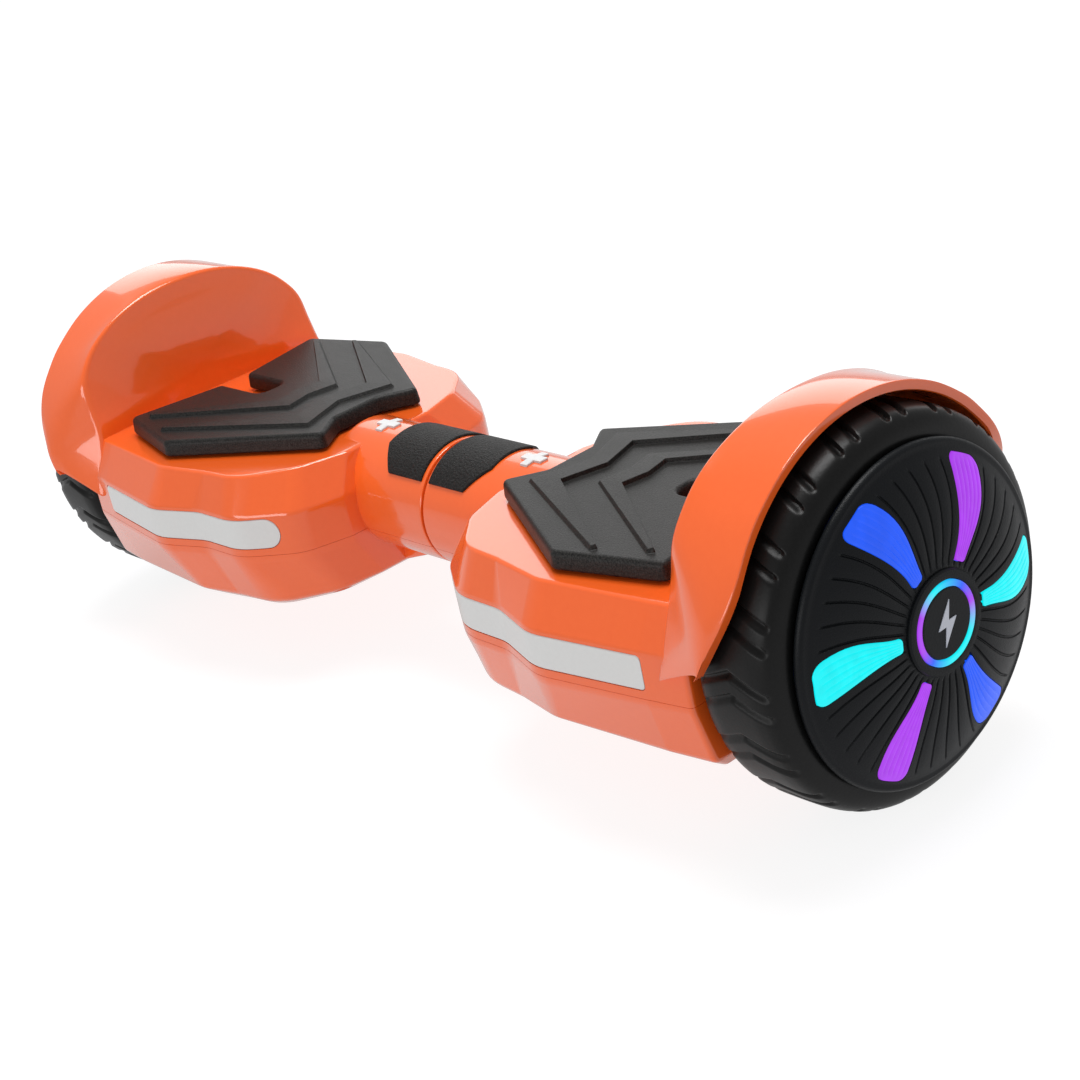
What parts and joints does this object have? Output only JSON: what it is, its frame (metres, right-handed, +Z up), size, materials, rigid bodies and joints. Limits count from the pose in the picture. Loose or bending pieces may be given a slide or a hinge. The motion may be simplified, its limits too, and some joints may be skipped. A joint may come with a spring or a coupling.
{
  "type": "self balancing hoverboard",
  "caption": "Self balancing hoverboard with glossy orange shells, black foot mats, strip lights, hub motor wheels and lit hub covers.",
  "frame": {"origin": "on the floor, midway between the two wheels", "axes": "+X along the board to the right half, +Y to the rear, +Z up; the board stands on its tyres at Z = 0"},
  "size_m": [0.579, 0.1832, 0.1735],
  "materials": {
    "orange_shell": "high gloss moulded shell",
    "black_mat": "fine grained moulded rubber",
    "black_grip": "coarse textured rubber",
    "white_inlay": "satin",
    "light_lens": "milky diffusing lens, unlit",
    "tyre_rubber": "solid rubber tyre",
    "hub_black": "satin with fine grooves",
    "lit_blade": "diffusing light guide",
    "aluminium": "as cast",
    "steel": "zinc plated",
    "magnet_steel": "plain",
    "copper_winding": "enamelled copper winding on a laminated core",
    "board_green": "solder mask",
    "pack_blue": "shrink wrap",
    "black_plastic": "satin",
    "bush_grey": "plain bearing polymer"
  },
  "bodies": {
    "right_half": {"right_upper_shell": "orange_shell", "right_lower_shell": "orange_shell", "right_front_light": "light_lens", "right_rear_light": "light_lens", "right_neck_grip": "black_grip", "right_plus_inlay": "white_inlay", "right_motor_axle": "steel", "right_stator": "copper_winding", "right_chassis": "aluminium", "right_axle_clamp": "steel", "right_clamp_bolt_1": "steel", "right_clamp_bolt_2": "steel", "right_shell_screw_1": "steel", "right_shell_screw_2": "steel", "right_shell_screw_3": "steel", "right_sensor_board": "board_green", "mainboard": "board_green", "pivot_shaft": "steel", "pivot_retaining_ring": "steel"},
    "left_half": {"left_upper_shell": "orange_shell", "left_lower_shell": "orange_shell", "left_front_light": "light_lens", "left_rear_light": "light_lens", "left_neck_grip": "black_grip", "left_plus_inlay": "white_inlay", "left_motor_axle": "steel", "left_stator": "copper_winding", "left_chassis": "aluminium", "left_axle_clamp": "steel", "left_clamp_bolt_1": "steel", "left_clamp_bolt_2": "steel", "left_shell_screw_1": "steel", "left_shell_screw_2": "steel", "left_shell_screw_3": "steel", "left_sensor_board": "board_green", "battery_pack": "pack_blue", "pivot_bush": "bush_grey", "charge_port": "black_plastic"},
    "right_wheel": {"right_tyre": "tyre_rubber", "right_wheel_rim": "aluminium", "right_motor_cover": "aluminium", "right_magnet_ring": "magnet_steel", "right_hub_cover": "hub_black", "right_light_guide": "lit_blade", "right_hub_badge": "hub_black", "right_hub_light_ring": "lit_blade"},
    "left_wheel": {"left_tyre": "tyre_rubber", "left_wheel_rim": "aluminium", "left_motor_cover": "aluminium", "left_magnet_ring": "magnet_steel", "left_hub_cover": "hub_black", "left_light_guide": "lit_blade", "left_hub_badge": "hub_black", "left_hub_light_ring": "lit_blade"},
    "right_mat": {"right_foot_mat": "black_mat"},
    "left_mat": {"left_foot_mat": "black_mat"},
    "power_push": {"power_button": "black_plastic"},
    "charge_lid": {"charge_port_lid": "black_plastic"}
  },
  "joints": [
    {"name": "centre_pivot", "type": "hinge", "parent": "right_half", "child": "left_half", "pos_m": [0, 0, 0.0805], "axis": [1, 0, 0], "range_deg": [-12, 12]},
    {"name": "right_wheel_spin", "type": "hinge", "parent": "right_half", "child": "right_wheel", "pos_m": [0.25, 0, 0.0825], "axis": [1, 0, 0], "continuous": true},
    {"name": "left_wheel_spin", "type": "hinge", "parent": "left_half", "child": "left_wheel", "pos_m": [-0.25, 0, 0.0825], "axis": [1, 0, 0], "continuous": true},
    {"name": "right_mat_press", "type": "slide", "parent": "right_half", "child": "right_mat", "axis": [0, 0, -1], "range_m": [0, 0.0012], "stiffness_N_per_m": 9000, "springref_m": -0.0003},
    {"name": "left_mat_press", "type": "slide", "parent": "left_half", "child": "left_mat", "axis": [0, 0, -1], "range_m": [0, 0.0012], "stiffness_N_per_m": 9000, "springref_m": -0.0003},
    {"name": "power_button_press", "type": "slide", "parent": "right_half", "child": "power_push", "axis": [0, -1, 0], "range_m": [0, 0.0015], "stiffness_N_per_m": 900, "springref_m": -0.0005},
    {"name": "charge_lid_hinge", "type": "hinge", "parent": "left_half", "child": "charge_lid", "pos_m": [-0.176, 0.0895, 0.0655], "axis": [1, 0, 0], "range_deg": [0, 110]}
  ]
}
